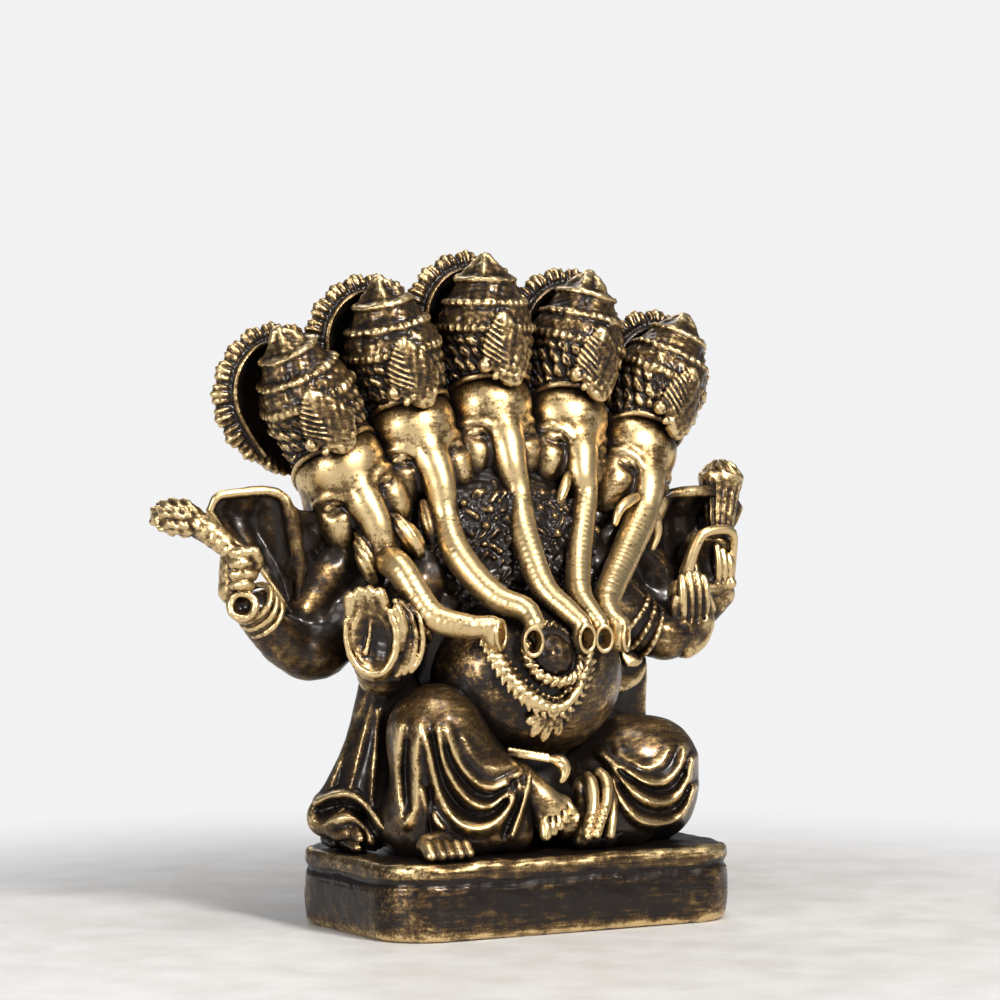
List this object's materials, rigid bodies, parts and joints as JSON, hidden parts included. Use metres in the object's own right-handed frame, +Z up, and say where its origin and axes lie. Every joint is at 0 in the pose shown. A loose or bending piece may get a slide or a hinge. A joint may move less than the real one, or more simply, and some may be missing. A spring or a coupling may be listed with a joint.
{
  "type": "deity figurine",
  "caption": "Seated multi-headed elephant deity on a plinth, an antiqued gold and black resin table idol with scalloped halos behind tiered crowns.",
  "frame": {"origin": "middle of the plinth's flat underside", "axes": "+Z up; the figure faces -Y; +X is the figure's own left"},
  "size_m": [0.1483, 0.05, 0.1462],
  "materials": {
    "aged_gold": "dry-brushed gold paint, glossy, black left in the creases",
    "bronze_wash": "black base coat with gold brushed over the raised parts, glossy",
    "black_wash": "glossy brown-black base coat"
  },
  "bodies": {
    "root": {"plinth": "bronze_wash", "torso": "bronze_wash", "belly": "bronze_wash", "waist_knot": "aged_gold", "back_cloak": "bronze_wash", "right_leg": "bronze_wash", "left_leg": "bronze_wash", "right_foot": "aged_gold", "left_foot": "aged_gold", "dhoti_pleats": "aged_gold", "shawl_right": "bronze_wash", "shawl_left": "bronze_wash", "mouse": "aged_gold", "right_rear_arm": "bronze_wash", "right_front_arm": "bronze_wash", "left_rear_arm": "bronze_wash", "left_front_arm": "bronze_wash", "right_rear_hand": "aged_gold", "right_front_hand": "aged_gold", "left_rear_hand": "aged_gold", "left_front_hand": "aged_gold", "right_armlets": "aged_gold", "left_armlets": "aged_gold", "right_club": "aged_gold", "left_lotus": "aged_gold", "sweet_bowl": "aged_gold", "sweet": "black_wash", "necklace": "aged_gold", "pendant": "aged_gold", "chest_beads": "aged_gold", "head_1": "aged_gold", "head_2": "aged_gold", "head_3": "aged_gold", "head_4": "aged_gold", "head_5": "aged_gold", "right_ear": "aged_gold", "left_ear": "aged_gold", "tusks_1": "aged_gold", "tusks_2": "aged_gold", "tusks_3": "aged_gold", "tusks_4": "aged_gold", "tusks_5": "aged_gold", "crown_1": "bronze_wash", "crown_2": "bronze_wash", "crown_3": "bronze_wash", "crown_4": "bronze_wash", "crown_5": "bronze_wash", "crest_1": "aged_gold", "crest_2": "aged_gold", "crest_3": "aged_gold", "crest_4": "aged_gold", "crest_5": "aged_gold", "halo_1": "bronze_wash", "halo_2": "bronze_wash", "halo_3": "bronze_wash", "halo_4": "bronze_wash", "halo_5": "bronze_wash"}
  },
  "joints": []
}
